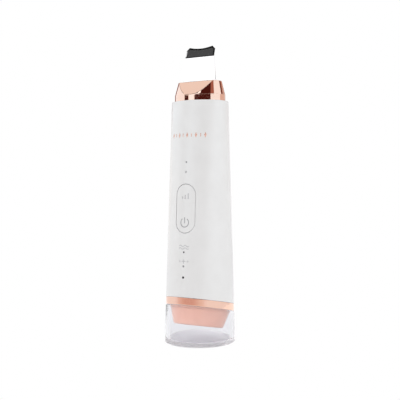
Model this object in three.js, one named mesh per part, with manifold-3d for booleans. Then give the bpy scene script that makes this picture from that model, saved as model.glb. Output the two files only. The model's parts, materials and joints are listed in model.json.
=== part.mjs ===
// A two-in-one skin scrubber: an ultrasonic spatula at the top, a plasma head at the bottom,
// standing in the clear cap that covers the plasma head.
// Millimetres, +Z up, the key faces -Y, and the origin is on the floor under the middle of the cap.
import * as THREE from 'three';
import { mergeVertices } from 'three/addons/utils/BufferGeometryUtils.js';
import Module from 'manifold-3d';

const wasm = await Module();
wasm.setup();

// ---- driving dimensions -------------------------------------------------------------------------

// Tapered oval of the body: half width and half depth at height z.
const BASE_HALF_WIDTH = 23.0;
const WIDTH_TAPER = 0.0225;
const BASE_HALF_DEPTH = 24.0;
const DEPTH_TAPER = 0.047;
const DEPTH_CURVE = 0.000055;
const BODY_TOP = 157.1;
const BODY_WALL = 1.8;
const OVAL_SIDES = 36;
const OVAL_SPANS = 4;

// The ring, the plasma head and the cap's mouth lean by the same angle: high at the front.
const LEAN = THREE.MathUtils.degToRad(12);
const RING_UPPER = 26.75;
const RING_LOWER = 22.05;
const SEAT_GAP = 0.3;
const SPIGOT_RISE = 4.0;
const SPIGOT_WALL = 1.5;

// Plasma head: a cone frustum on the leaning axis.
const PLASMA_FACE_LEVEL = 9.7;
const PLASMA_FACE_RADIUS = 16.2;
const PLASMA_TOP_RADIUS = 20.0;
const PLASMA_HEIGHT = 11.8;
const PLASMA_WALL = 2.0;
const EMITTER_RADIUS = 12.0;
const EMITTER_THICK = 1.2;
const LIP_HALF_WIDTH = 20.05;
const LIP_HALF_DEPTH = 20.65;
const LIP_TALL = 1.0;
const BOSS_X = 15.0;
const BOSS_RADIUS = 3.2;
const BOSS_TOP = 31.4;

// Clear cap.
const CAP_HALF_WIDTH = 20.3;
const CAP_HALF_DEPTH = 20.9;
const CAP_FLOOR = 2.6;
const CAP_FOOT_EDGE = 0.8;

// Head.
const HEAD_HALF_WIDTH = 17.45;
const HEAD_HALF_DEPTH = 13.2;
const HEAD_FOOT = 151.5;
const HEAD_SHOULDER = 161.4;
const HEAD_TOP = 170.2;
const HEAD_TOP_HALF_WIDTH = 15.45;
const HEAD_TOP_HALF_DEPTH = 9.4;
const HEAD_WALL = 1.6;
const FACET_EDGE_Y = 5.5;
const FACET_LEAN = THREE.MathUtils.degToRad(50);

// Blade.
const BLADE_Y = -0.4;
const BLADE_THICK = 0.6;
const BLADE_TAIL_FOOT = 153.0;
const BLADE_TAIL_HALF = 6.5;
const BLADE_TAIL_TOP = 165.0;
const BLADE_ROOT = 167.5;
const BLADE_BEND = 187.0;
const BLADE_BEND_HALF = 10.7;
const BLADE_ROOT_HALF = 11.9;
const TIP_LEAN = THREE.MathUtils.degToRad(17);
const TIP_SIDE_TOP = 191.8;
const TIP_HORN_TOP = 193.8;
const TIP_HORN_HALF = 8.5;
const TIP_MIDDLE = 192.6;
const BLADE_SCREW_X = 3.5;
const BLADE_SCREW_Z = 158.5;
const SEAL_HALF_WIDTH = 12.75;
const SEAL_HALF_DEPTH = 1.75;
const SEAL_FOOT = 168.0;
const SEAL_TOP = 171.2;

// Rocker key and its switches.
const KEY_CENTRE_Z = 87.75;
const KEY_HALF_HEIGHT = 15.5;
const KEY_HALF_WIDTH = 6.8;
const KEY_WALL = 1.5;
const KEY_GAP = 0.35;
const KEY_PIVOT_Y = -15.1;
const PIN_RADIUS = 0.6;
const LUG_WIDE = 1.6;
const NIB_HALF = 1.4;
const SWITCH_OFFSET = 8.5;
const SWITCH_SIDE = 5.2;
const SWITCH_FRONT = -13.3;
const PLUNGER_TIP = -14.2;
const NIB_TIP = -14.5;

// Boards, indicators and their heights.
const BOARD_FRONT = -11.6;
const BOARD_BACK = -10.4;
const BOARD_HALF_WIDTH = 11.0;
const BOARD_SPAN = [40.0, 121.0];
const LENS_RADIUS = 0.75;
const LENS_HOLE_RADIUS = 1.0;
const LENS_BACK = -13.0;
const COLLAR_RADIUS = 1.35;
const LED_TALL = 0.9;
const INDICATORS = {
  level_upper: 117.3,
  level_lower: 111.1,
  peeling: 60.0,
  plasma: 51.1,
  charge: 44.0,
};
const LENS_NAMES = {
  level_upper: 'level_lens_upper',
  level_lower: 'level_lens_lower',
  peeling: 'peeling_lens',
  plasma: 'plasma_lens',
  charge: 'charge_lens',
};

// Chassis, cell, ultrasonic stack, socket.
const PLATE_FRONT = -8.0;
const PLATE_BACK = -6.4;
const PLATE_HALF_WIDTH = 12.0;
const PLATE_SPAN = [33.8, 110.0];
const CELL_Y = 3.0;
const CELL_RADIUS = 7.0;
const CELL_SPAN = [56.0, 105.5];
const STACK_RADIUS = 7.5;
const STACK_SIDES = 24;
const SLEEVE_OUTER = 9.3;
const BOLT_RADIUS = 2.0;
const COLLAR_SPAN = [130.5, 135.0];
const USB_Z = 45.0;
const USB_HALF_WIDTH = 4.47;
const USB_HALF_HEIGHT = 1.63;
const USB_SHEET = 0.3;
const USB_GAP = 0.4;
const USB_SPAN = [13.9, 21.25];

// ---- shape helpers ------------------------------------------------------------------------------

function bodyHalfWidth(z) {
  return BASE_HALF_WIDTH - WIDTH_TAPER * z;
}

function bodyHalfDepth(z) {
  return BASE_HALF_DEPTH - DEPTH_TAPER * z - DEPTH_CURVE * z * z;
}

function solid(geometry) {
  const bare = geometry.clone();
  bare.deleteAttribute('normal');
  bare.deleteAttribute('uv');
  const merged = mergeVertices(bare, 1e-5);
  return new wasm.Manifold(new wasm.Mesh({
    numProp: 3,
    vertProperties: new Float32Array(merged.attributes.position.array),
    triVerts: new Uint32Array(merged.index.array),
  }));
}

function geometryOf(shape) {
  const mesh = shape.getMesh();
  const geometry = new THREE.BufferGeometry();
  geometry.setAttribute('position', new THREE.BufferAttribute(mesh.vertProperties, 3));
  geometry.setIndex(new THREE.BufferAttribute(mesh.triVerts, 1));
  geometry.computeVertexNormals();
  return geometry;
}

function joined(shapes) {
  return shapes.reduce((whole, shape) => whole.add(shape));
}

function block([x0, x1], [y0, y1], [z0, z1]) {
  const box = new THREE.BoxGeometry(x1 - x0, y1 - y0, z1 - z0);
  box.translate((x0 + x1) / 2, (y0 + y1) / 2, (z0 + z1) / 2);
  return solid(box);
}

function rodX([x0, x1], y, z, radius, sides = 16) {
  const rod = new THREE.CylinderGeometry(radius, radius, x1 - x0, sides);
  rod.rotateZ(Math.PI / 2);
  rod.translate((x0 + x1) / 2, y, z);
  return solid(rod);
}

function rodY(x, [y0, y1], z, radius, sides = 16) {
  const rod = new THREE.CylinderGeometry(radius, radius, y1 - y0, sides);
  rod.translate(x, (y0 + y1) / 2, z);
  return solid(rod);
}

function rodZ(x, y, [z0, z1], radius, sides = 24, topRadius = radius) {
  const rod = new THREE.CylinderGeometry(topRadius, radius, z1 - z0, sides);
  rod.rotateX(Math.PI / 2);
  rod.translate(x, y, (z0 + z1) / 2);
  return solid(rod);
}

function ringZ([z0, z1], outerRadius, innerRadius) {
  const outer = rodZ(0, 0, [z0, z1], outerRadius, STACK_SIDES);
  return outer.subtract(rodZ(0, 0, [z0 - 1, z1 + 1], innerRadius, STACK_SIDES));
}

// A stack of ellipses, each [z, half width, half depth], joined into one solid.
function loft(levels) {
  const spans = levels.length - 1;
  const drum = new THREE.CylinderGeometry(1, 1, spans, OVAL_SIDES, spans);
  drum.rotateX(Math.PI / 2);
  drum.translate(0, 0, spans / 2);
  const corners = drum.attributes.position;
  for (let i = 0; i < corners.count; i += 1) {
    const [z, halfWidth, halfDepth] = levels[Math.round(corners.getZ(i))];
    corners.setXYZ(i, corners.getX(i) * halfWidth, corners.getY(i) * halfDepth, z);
  }
  return solid(drum);
}

function bodyLevels([z0, z1], inset, spans) {
  const levels = [];
  for (let i = 0; i <= spans; i += 1) {
    const z = z0 + ((z1 - z0) * i) / spans;
    levels.push([z, bodyHalfWidth(z) - inset, bodyHalfDepth(z) - inset]);
  }
  return levels;
}

function oval(span, inset, spans = 1) {
  return loft(bodyLevels(span, inset, spans));
}

function ellipse([z0, z1], halfWidth, halfDepth) {
  return loft([[z0, halfWidth, halfDepth], [z1, halfWidth, halfDepth]]);
}

// Half-spaces above and below the leaning plane that crosses the axis at the given height.
function leaningSlab(level, from, to) {
  const slab = new THREE.BoxGeometry(90, 90, to - from);
  slab.translate(0, 0, (from + to) / 2);
  slab.rotateX(-LEAN);
  slab.translate(0, 0, level);
  return solid(slab);
}

function above(level) {
  return leaningSlab(level, 0, 200);
}

function below(level) {
  return leaningSlab(level, -60, 0);
}

// Puts a solid made on an upright axis onto the plasma head's leaning axis.
function onPlasmaAxis(shape) {
  const drop = (RING_LOWER - PLASMA_FACE_LEVEL) * Math.cos(LEAN);
  const leaned = shape.rotate([-THREE.MathUtils.radToDeg(LEAN), 0, 0]);
  return leaned.translate([0, -drop * Math.sin(LEAN), RING_LOWER - drop * Math.cos(LEAN)]);
}

// An outline drawn in X and Z, given thickness along Y.
function frontal(outline, [y0, y1], curveSegments = 6) {
  const plate = new THREE.ExtrudeGeometry(outline, {
    depth: y1 - y0,
    bevelEnabled: false,
    curveSegments,
  });
  plate.rotateX(Math.PI / 2);
  plate.translate(0, y1, 0);
  return solid(plate);
}

// An outline drawn in Y and Z, given width along X.
function sideways(outline, halfWidth) {
  const plate = new THREE.ExtrudeGeometry(outline, { depth: 2 * halfWidth, bevelEnabled: false });
  plate.rotateX(Math.PI / 2);
  plate.rotateZ(Math.PI / 2);
  plate.translate(-halfWidth, 0, 0);
  return solid(plate);
}

function pillOutline(centreZ, halfWidth, halfHeight) {
  const straight = halfHeight - halfWidth;
  const outline = new THREE.Shape();
  outline.moveTo(halfWidth, centreZ - straight);
  outline.lineTo(halfWidth, centreZ + straight);
  outline.absarc(0, centreZ + straight, halfWidth, 0, Math.PI);
  outline.lineTo(-halfWidth, centreZ - straight);
  outline.absarc(0, centreZ - straight, halfWidth, Math.PI, 2 * Math.PI);
  return outline;
}

// A pill lying on its side: rounded ends left and right.
function slotOutline(centreZ, halfWidth, halfHeight) {
  const straight = halfWidth - halfHeight;
  const outline = new THREE.Shape();
  outline.moveTo(straight, centreZ - halfHeight);
  outline.absarc(straight, centreZ, halfHeight, -Math.PI / 2, Math.PI / 2);
  outline.lineTo(-straight, centreZ + halfHeight);
  outline.absarc(-straight, centreZ, halfHeight, Math.PI / 2, (3 * Math.PI) / 2);
  return outline;
}

// A flat stadium seen from above, given height along Z.
function stadium(y, halfWidth, halfDepth, [z0, z1]) {
  const prism = new THREE.ExtrudeGeometry(slotOutline(0, halfWidth, halfDepth), {
    depth: z1 - z0,
    bevelEnabled: false,
    curveSegments: 4,
  });
  prism.translate(0, y, z0);
  return solid(prism);
}

function lead(points, radius, steps = 7) {
  const route = new THREE.CatmullRomCurve3(points.map((point) => new THREE.Vector3(...point)));
  const section = new THREE.Shape();
  section.absarc(0, 0, radius, 0, 2 * Math.PI);
  const wire = new THREE.ExtrudeGeometry(section, {
    steps,
    bevelEnabled: false,
    extrudePath: route,
    curveSegments: 4,
  });
  return solid(wire);
}

function screwY(x, z, [headStart, headEnd], shankEnd, headRadius, shankRadius) {
  const head = rodY(x, [headStart, headEnd], z, headRadius, 12);
  return head.add(rodY(x, [headEnd - 0.1, shankEnd], z, shankRadius, 12));
}

// ---- casing -------------------------------------------------------------------------------------

function bodyShell() {
  const outer = oval([15, BODY_TOP], 0, OVAL_SPANS);
  const hollow = oval([14, BODY_TOP + 1], BODY_WALL, OVAL_SPANS);
  const keyOpening = frontal(
    pillOutline(KEY_CENTRE_Z, KEY_HALF_WIDTH + KEY_GAP, KEY_HALF_HEIGHT + KEY_GAP),
    [-30, -8],
  );
  const usbOpening = frontal(
    slotOutline(USB_Z, USB_HALF_WIDTH + USB_GAP, USB_HALF_HEIGHT + USB_GAP),
    [8, 30],
  );
  const lensHoles = Object.values(INDICATORS).map(
    (z) => rodY(0, [-30, -8], z, LENS_HOLE_RADIUS, 12),
  );
  const tube = outer.subtract(hollow).intersect(above(RING_UPPER + SEAT_GAP));
  return tube.subtract(joined([keyOpening, usbOpening, ...lensHoles]));
}

function trimRing() {
  const band = oval([14, 36], 0).intersect(above(RING_LOWER)).intersect(below(RING_UPPER));
  const spigotInset = BODY_WALL + SEAT_GAP;
  const spigot = oval([14, 40], spigotInset)
    .intersect(above(RING_LOWER + 1))
    .intersect(below(RING_UPPER + SPIGOT_RISE));
  return band.add(spigot).subtract(oval([10, 44], spigotInset + SPIGOT_WALL));
}

function headLevels(inset, foot, top) {
  return [
    [foot, HEAD_HALF_WIDTH - inset, HEAD_HALF_DEPTH - inset],
    [HEAD_SHOULDER, HEAD_HALF_WIDTH - inset, HEAD_HALF_DEPTH - inset],
    [top, HEAD_TOP_HALF_WIDTH - inset, HEAD_TOP_HALF_DEPTH - inset],
  ];
}

function headFacet(side, inset) {
  const cutter = new THREE.BoxGeometry(80, 60, 30);
  cutter.translate(0, 0, 15 - inset);
  cutter.rotateX(-side * FACET_LEAN);
  cutter.translate(0, side * FACET_EDGE_Y, HEAD_TOP);
  return solid(cutter);
}

function facetedHead(inset, foot, top) {
  const drum = loft(headLevels(inset, foot, top));
  return drum.subtract(headFacet(-1, inset)).subtract(headFacet(1, inset));
}

function headShell() {
  const outer = facetedHead(0, HEAD_FOOT, HEAD_TOP);
  const hollow = facetedHead(HEAD_WALL, HEAD_FOOT - 1, HEAD_TOP - HEAD_WALL);
  const slot = stadium(BLADE_Y, SEAL_HALF_WIDTH + 0.25, SEAL_HALF_DEPTH + 0.25, [160, 175]);
  return outer.subtract(hollow).subtract(slot);
}

function clearCap() {
  const top = RING_UPPER;
  const levels = [
    [0, BASE_HALF_WIDTH - CAP_FOOT_EDGE, BASE_HALF_DEPTH - CAP_FOOT_EDGE],
    ...bodyLevels([CAP_FOOT_EDGE, top], 0, 2),
  ];
  const cavity = ellipse([CAP_FLOOR, top + 5], CAP_HALF_WIDTH, CAP_HALF_DEPTH);
  return loft(levels).intersect(below(RING_LOWER - SEAT_GAP)).subtract(cavity);
}

// ---- spatula ------------------------------------------------------------------------------------

function blade() {
  const half = BLADE_THICK / 2;
  const rise = TIP_HORN_TOP + 2 - BLADE_BEND;
  const sweep = rise * Math.tan(TIP_LEAN);
  const profile = new THREE.Shape();
  profile.moveTo(BLADE_Y - half, BLADE_TAIL_FOOT);
  profile.lineTo(BLADE_Y + half, BLADE_TAIL_FOOT);
  profile.lineTo(BLADE_Y + half, BLADE_BEND - half * Math.tan(TIP_LEAN / 2));
  profile.lineTo(BLADE_Y + half / Math.cos(TIP_LEAN) + sweep, BLADE_BEND + rise);
  profile.lineTo(BLADE_Y - half / Math.cos(TIP_LEAN) + sweep, BLADE_BEND + rise);
  profile.lineTo(BLADE_Y - half, BLADE_BEND + half * Math.tan(TIP_LEAN / 2));

  const outline = new THREE.Shape();
  outline.moveTo(-BLADE_TAIL_HALF, BLADE_TAIL_FOOT);
  outline.lineTo(BLADE_TAIL_HALF, BLADE_TAIL_FOOT);
  outline.lineTo(BLADE_TAIL_HALF, BLADE_TAIL_TOP);
  outline.lineTo(BLADE_ROOT_HALF, BLADE_ROOT);
  outline.lineTo(BLADE_BEND_HALF, BLADE_BEND);
  outline.lineTo(BLADE_BEND_HALF, TIP_SIDE_TOP);
  outline.lineTo(TIP_HORN_HALF, TIP_HORN_TOP);
  outline.quadraticCurveTo(0, 2 * TIP_MIDDLE - TIP_HORN_TOP, -TIP_HORN_HALF, TIP_HORN_TOP);
  outline.lineTo(-BLADE_BEND_HALF, TIP_SIDE_TOP);
  outline.lineTo(-BLADE_BEND_HALF, BLADE_BEND);
  outline.lineTo(-BLADE_ROOT_HALF, BLADE_ROOT);
  outline.lineTo(-BLADE_TAIL_HALF, BLADE_TAIL_TOP);

  const sheet = sideways(profile, 15).intersect(frontal(outline, [-10, 10], 16));
  const holes = [-1, 1].map((side) => rodY(side * BLADE_SCREW_X, [-5, 5], BLADE_SCREW_Z, 1.3, 12));
  return sheet.subtract(joined(holes));
}

function bladeSeal() {
  const lip = stadium(BLADE_Y, SEAL_HALF_WIDTH, SEAL_HALF_DEPTH, [SEAL_FOOT, SEAL_TOP]);
  const slit = block(
    [-BLADE_ROOT_HALF - 0.2, BLADE_ROOT_HALF + 0.2],
    [BLADE_Y - 0.6, BLADE_Y + 0.6],
    [160, 180],
  );
  return lip.subtract(slit);
}

function transducerHorn() {
  const root = rodZ(0, 0, [128.8, 136.5], STACK_RADIUS, STACK_SIDES);
  const cone = rodZ(0, 0, [136.4, 147.0], STACK_RADIUS, STACK_SIDES, 4.6);
  const tip = block([-7.0, 7.0], [BLADE_Y - 3.0, BLADE_Y + 3.0], [144.5, 164.0]);
  const slit = block([-8.0, 8.0], [BLADE_Y - 0.45, BLADE_Y + 0.45], [152.5, 166.0]);
  const boltHole = rodZ(0, 0, [127.0, 136.0], BOLT_RADIUS + 0.2, 16);
  const screwHoles = [-1, 1].map(
    (side) => rodY(side * BLADE_SCREW_X, [-8, 8], BLADE_SCREW_Z, 1.25, 12),
  );
  return joined([root, cone, tip]).subtract(joined([slit, boltHole, ...screwHoles]));
}

function bladeScrew(side) {
  const front = BLADE_Y - 3.0;
  return screwY(side * BLADE_SCREW_X, BLADE_SCREW_Z, [front - 1.4, front], BLADE_Y + 2.6, 1.9, 0.95);
}

function stackRing(span) {
  return ringZ(span, STACK_RADIUS, BOLT_RADIUS + 0.4);
}

function electrodeTab() {
  const disc = rodZ(0, 0, [125.4, 125.7], STACK_RADIUS, STACK_SIDES);
  const lug = block([7.0, 9.8], [-1.5, 1.5], [125.4, 125.7]);
  return disc.add(lug).subtract(rodZ(0, 0, [124, 127], BOLT_RADIUS + 0.4, 16));
}

function preloadBolt() {
  return rodZ(0, 0, [108.0, 111.8], 3.5, 6).add(rodZ(0, 0, [111.7, 135.6], BOLT_RADIUS, 16));
}

// ---- key and switches ---------------------------------------------------------------------------

function rockerKey() {
  const span = [KEY_CENTRE_Z - KEY_HALF_HEIGHT - 2, KEY_CENTRE_Z + KEY_HALF_HEIGHT + 2];
  const inner = oval([span[0] - 1, span[1] + 1], KEY_WALL, 2);
  const skin = oval(span, 0, 2)
    .subtract(inner)
    .intersect(frontal(pillOutline(KEY_CENTRE_Z, KEY_HALF_WIDTH, KEY_HALF_HEIGHT), [-30, -8]));
  const lugs = [-3.8, 2.2].map(
    (x) => block([x, x + LUG_WIDE], [-18.3, -14.0], [KEY_CENTRE_Z - 1.4, KEY_CENTRE_Z + 1.4]),
  );
  const nibs = [-1, 1].map((side) => {
    const z = KEY_CENTRE_Z + side * SWITCH_OFFSET;
    return block(
      [-NIB_HALF, NIB_HALF],
      [-bodyHalfDepth(z) + 0.8, NIB_TIP],
      [z - NIB_HALF, z + NIB_HALF],
    );
  });
  const bore = rodX([-8, 8], KEY_PIVOT_Y, KEY_CENTRE_Z, PIN_RADIUS + 0.08);
  return joined([skin, ...lugs, ...nibs]).subtract(bore);
}

function keyBracket() {
  const foot = block([-5.8, 5.8], [-12.8, BOARD_FRONT], [KEY_CENTRE_Z - 3.5, KEY_CENTRE_Z + 3.5]);
  const ears = [-5.8, 4.4].map(
    (x) => block([x, x + 1.4], [-16.3, -12.7], [KEY_CENTRE_Z - 1.8, KEY_CENTRE_Z + 1.8]),
  );
  const bore = rodX([-8, 8], KEY_PIVOT_Y, KEY_CENTRE_Z, PIN_RADIUS + 0.05);
  return joined([foot, ...ears]).subtract(bore);
}

function tactSwitch(side) {
  const z = KEY_CENTRE_Z + side * SWITCH_OFFSET;
  const half = SWITCH_SIDE / 2;
  const can = block([-half, half], [SWITCH_FRONT, BOARD_FRONT], [z - half, z + half]);
  return can.subtract(rodY(0, [-14, -12.0], z, 1.45, 16));
}

function switchPlunger(side) {
  return rodY(0, [PLUNGER_TIP, -12.4], KEY_CENTRE_Z + side * SWITCH_OFFSET, 1.2, 16);
}

// ---- boards, indicators, chassis ----------------------------------------------------------------

function indicatorLens(z) {
  const face = -bodyHalfDepth(z) + 0.05;
  const behindWall = -bodyHalfDepth(z) + BODY_WALL + 0.4;
  const pipe = rodY(0, [face, LENS_BACK], z, LENS_RADIUS, 12);
  const collar = rodY(0, [behindWall, LENS_BACK], z, COLLAR_RADIUS, 12);
  return pipe.add(collar);
}

function indicatorLed(z) {
  return block([-0.8, 0.8], [BOARD_FRONT - LED_TALL, BOARD_FRONT], [z - 0.5, z + 0.5]);
}

const BOARD_SCREWS = { board_screw_upper: [8.5, 106.0], board_screw_lower: [-8.5, 66.0] };

function mainBoard() {
  const sheet = block([-BOARD_HALF_WIDTH, BOARD_HALF_WIDTH], [BOARD_FRONT, BOARD_BACK], BOARD_SPAN);
  const holes = Object.values(BOARD_SCREWS).map(([x, z]) => rodY(x, [-14, -8], z, 1.3, 12));
  return sheet.subtract(joined(holes));
}

function boardScrew([x, z]) {
  return screwY(x, z, [BOARD_FRONT - 1.2, BOARD_FRONT], PLATE_BACK - 0.4, 1.9, 0.9);
}

function chassis() {
  const half = PLATE_HALF_WIDTH;
  const plate = block([-half, half], [PLATE_FRONT, PLATE_BACK], PLATE_SPAN);
  const windows = [[55.5, 61.5], [100.8, 108.0]].map((span) => block([-6, 6], [-10, -5], span));
  const posts = [-1, 1].flatMap((side) => Object.values(BOARD_SCREWS).map(
    ([x, z]) => rodY(side * x, [BOARD_BACK, PLATE_FRONT + 0.1], z, 2.0, 12),
  ));
  const ribs = [[62.0, 65.0], [97.0, 100.0]].map(
    (span) => block([-9, 9], [PLATE_BACK - 0.1, CELL_Y], span),
  );
  const cellRoom = rodZ(0, CELL_Y, [50, 110], CELL_RADIUS + 0.3, STACK_SIDES);
  const endStops = [[52.6, 54.2], [108.4, 110.0]].map(
    (span) => block([-7, 7], [PLATE_BACK - 0.1, -5.9], span),
  );
  const rails = [-1, 1].map((side) => block(
    side > 0 ? [10.5, 12.0] : [-12.0, -10.5],
    [PLATE_FRONT, PLATE_BACK],
    [109.0, COLLAR_SPAN[1]],
  ));
  const collar = ringZ(COLLAR_SPAN, 12.6, SLEEVE_OUTER + 0.4);
  const arms = [-1, 1].map((side) => block(
    side > 0 ? [8.2, 9.8] : [-9.8, -8.2],
    [PLATE_BACK - 0.1, 17.0],
    [40.2, 41.9],
  ));
  const screwHoles = Object.values(BOARD_SCREWS).map(([x, z]) => rodY(x, [-14, -5], z, 1.2, 12));
  const frame = joined([plate, ...ribs, ...posts, ...endStops, ...rails, collar, ...arms]);
  return frame.subtract(joined([cellRoom, ...windows, ...screwHoles]));
}

// ---- cell and its contacts ----------------------------------------------------------------------

function batteryCell() {
  const can = rodZ(0, CELL_Y, CELL_SPAN, CELL_RADIUS, STACK_SIDES);
  return can.add(rodZ(0, CELL_Y, [CELL_SPAN[1] - 0.1, CELL_SPAN[1] + 1.0], 2.7, 16));
}

function batteryTab(flatSpan, legSpan) {
  const flat = block([-2.5, 2.5], [-5.5, CELL_Y + 2.5], flatSpan);
  return flat.add(block([-2.5, 2.5], [-5.5, -5.2], legSpan));
}

// ---- plasma head --------------------------------------------------------------------------------

function plasmaHousing() {
  const slope = (PLASMA_TOP_RADIUS - PLASMA_FACE_RADIUS) / PLASMA_HEIGHT;
  const wall = PLASMA_WALL;
  const profile = [
    [EMITTER_RADIUS + 0.3, 0],
    [PLASMA_FACE_RADIUS - 0.9, 0],
    [PLASMA_FACE_RADIUS - 0.25, 0.3],
    [PLASMA_FACE_RADIUS + slope, 1.0],
    [PLASMA_TOP_RADIUS, PLASMA_HEIGHT],
    [PLASMA_TOP_RADIUS - wall, PLASMA_HEIGHT],
    [PLASMA_FACE_RADIUS + 3 * slope - wall, 3.0],
    [EMITTER_RADIUS - 1.2, 3.0],
    [EMITTER_RADIUS - 1.2, EMITTER_THICK + 0.3],
    [EMITTER_RADIUS + 0.3, EMITTER_THICK + 0.3],
    [EMITTER_RADIUS + 0.3, 0],
  ];
  const cone = new THREE.LatheGeometry(profile.map(([r, z]) => new THREE.Vector2(r, z)), 36);
  cone.rotateX(Math.PI / 2);
  const lipTop = RING_LOWER - SEAT_GAP;
  const lip = ellipse([10, 32], LIP_HALF_WIDTH, LIP_HALF_DEPTH)
    .intersect(above(lipTop - LIP_TALL))
    .intersect(below(lipTop))
    .subtract(ellipse([8, 34], PLASMA_TOP_RADIUS - wall - 0.1, PLASMA_TOP_RADIUS - wall - 0.6));
  const bosses = [-1, 1].map((side) => rodZ(side * BOSS_X, 0, [14.5, BOSS_TOP], BOSS_RADIUS, 16));
  const screwHoles = [-1, 1].map((side) => rodZ(side * BOSS_X, 0, [17.5, 40], 1.4, 12));
  const mould = joined([onPlasmaAxis(solid(cone)), lip, ...bosses]);
  return mould.subtract(joined(screwHoles));
}

function plasmaPlate() {
  return onPlasmaAxis(rodZ(0, 0, [0, EMITTER_THICK], EMITTER_RADIUS, 32));
}

function plateTerminal() {
  return onPlasmaAxis(rodZ(0, 0, [EMITTER_THICK + 0.3, EMITTER_THICK + 1.5], 3.0, 16));
}

function baseFrame() {
  const span = [BOSS_TOP + 0.2, 33.4];
  const plate = oval(span, BODY_WALL + SEAT_GAP + SPIGOT_WALL + 0.4);
  const wireHole = rodZ(0, 0, [28, 36], 5.0, 16);
  const screwHoles = [-1, 1].map((side) => rodZ(side * BOSS_X, 0, [28, 36], 1.4, 12));
  return plate.subtract(joined([wireHole, ...screwHoles]));
}

function baseScrew(side) {
  const head = rodZ(side * BOSS_X, 0, [33.5, 34.9], 2.2, 12);
  return head.add(rodZ(side * BOSS_X, 0, [18.5, 33.6], 1.1, 12));
}

function hvCore() {
  const frame = block([-8, 8], [-2.6, 3.4], [36.0, 51.0]);
  return frame.subtract(block([-4.6, 4.6], [-5, 6], [39.5, 47.5]));
}

function hvCoil() {
  const winding = block([-4.2, 4.2], [-3.9, 4.7], [34.4, 41.2]);
  return winding.subtract(block([-6, 6], [-2.9, 3.7], [35.7, 39.8]));
}

// ---- charging socket ----------------------------------------------------------------------------

function usbShell() {
  const outer = frontal(slotOutline(USB_Z, USB_HALF_WIDTH, USB_HALF_HEIGHT), USB_SPAN, 6);
  const inner = slotOutline(USB_Z, USB_HALF_WIDTH - USB_SHEET, USB_HALF_HEIGHT - USB_SHEET);
  return outer.subtract(frontal(inner, [USB_SPAN[0] - 1, USB_SPAN[1] + 1], 6));
}

function usbTongue() {
  const root = block([-3.0, 3.0], [USB_SPAN[0], 16.0], [USB_Z - 1.1, USB_Z + 1.1]);
  return root.add(block([-3.35, 3.35], [15.9, 20.4], [USB_Z - 0.35, USB_Z + 0.35]));
}

// ---- assembly -----------------------------------------------------------------------------------

const scrubber = new THREE.Group();

const LOOKS = {
  white: { color: 0xe9e9eb, roughness: 0.5, metalness: 0.0 },
  roseGold: { color: 0xe6b59c, roughness: 0.12, metalness: 1.0 },
  pink: { color: 0xe3b4a6, roughness: 0.55, metalness: 0.0 },
  clear: { color: 0xf2f3f7, roughness: 0.05, metalness: 0.0, transparent: true, opacity: 0.35 },
  polishedSteel: { color: 0xc8c9cc, roughness: 0.12, metalness: 1.0 },
  steel: { color: 0xb4b6b9, roughness: 0.35, metalness: 0.9 },
  silicone: { color: 0xe4e0dd, roughness: 0.7, metalness: 0.0 },
  greyLens: { color: 0x8d8d90, roughness: 0.3, metalness: 0.0 },
  blackLens: { color: 0x161616, roughness: 0.3, metalness: 0.0 },
  boardGreen: { color: 0x1f6b45, roughness: 0.5, metalness: 0.0 },
  darkPlastic: { color: 0x2b2c2f, roughness: 0.6, metalness: 0.0 },
  aluminium: { color: 0xc2c4c6, roughness: 0.35, metalness: 0.9 },
  brass: { color: 0xc79a4a, roughness: 0.3, metalness: 0.9 },
  ceramic: { color: 0xece6dc, roughness: 0.5, metalness: 0.0 },
  wrap: { color: 0x3f6fb5, roughness: 0.4, metalness: 0.0 },
  copper: { color: 0xb9693f, roughness: 0.4, metalness: 0.0 },
  redWire: { color: 0xb3262a, roughness: 0.5, metalness: 0.0 },
  blackWire: { color: 0x1d1d1f, roughness: 0.5, metalness: 0.0 },
};

// Routes of the inner leads, chosen by hand, each from its source to its board.
const LEAD_ROUTES = {
  transducerLive: [[9.0, 0, 125.0], [9.2, -2, 121], [9.2, -6, 117.5], [8.6, -9.9, 114]],
  transducerGround: [[-8.1, 0, 117], [-9.4, -3, 116], [-9.2, -7, 114], [-8.6, -9.9, 112]],
  batteryUpper: [[0, -5.8, 104], [0, -8, 104.3], [0, -10.1, 105.5]],
  batteryLower: [[0, -5.8, 58], [0, -8, 58.3], [0, -10.1, 59.5]],
  plasma: [[2.0, 0.4, 34.0], [1.6, 0, 29], [0.4, -1.4, 20], [0, -1.9, 13.1]],
  usb: [[-7, 6.6, 42.5], [-11, 4, 45], [-13.6, -2, 48], [-13.8, -7.4, 50], [-10.6, -9.3, 52]],
};

function piece(name, shape, look) {
  const mesh = new THREE.Mesh(geometryOf(shape), new THREE.MeshStandardMaterial(LOOKS[look]));
  mesh.name = name;
  scrubber.add(mesh);
}

piece('body_shell', bodyShell(), 'white');
piece('trim_ring', trimRing(), 'roseGold');
piece('head_shell', headShell(), 'roseGold');
piece('clear_cap', clearCap(), 'clear');

piece('blade', blade(), 'polishedSteel');
piece('blade_seal', bladeSeal(), 'silicone');
piece('transducer_horn', transducerHorn(), 'aluminium');
piece('blade_screw_left', bladeScrew(-1), 'steel');
piece('blade_screw_right', bladeScrew(1), 'steel');
piece('back_mass', stackRing([112.0, 122.0]), 'steel');
piece('piezo_ring_rear', stackRing([122.2, 125.2]), 'ceramic');
piece('electrode_tab', electrodeTab(), 'brass');
piece('piezo_ring_front', stackRing([125.9, 128.6]), 'ceramic');
piece('preload_bolt', preloadBolt(), 'steel');
piece('transducer_sleeve', ringZ([130.0, 135.5], SLEEVE_OUTER, STACK_RADIUS + 0.3), 'silicone');
piece('transducer_lead_live', lead(LEAD_ROUTES.transducerLive, 0.5), 'redWire');
piece('transducer_lead_ground', lead(LEAD_ROUTES.transducerGround, 0.5), 'blackWire');

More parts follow.
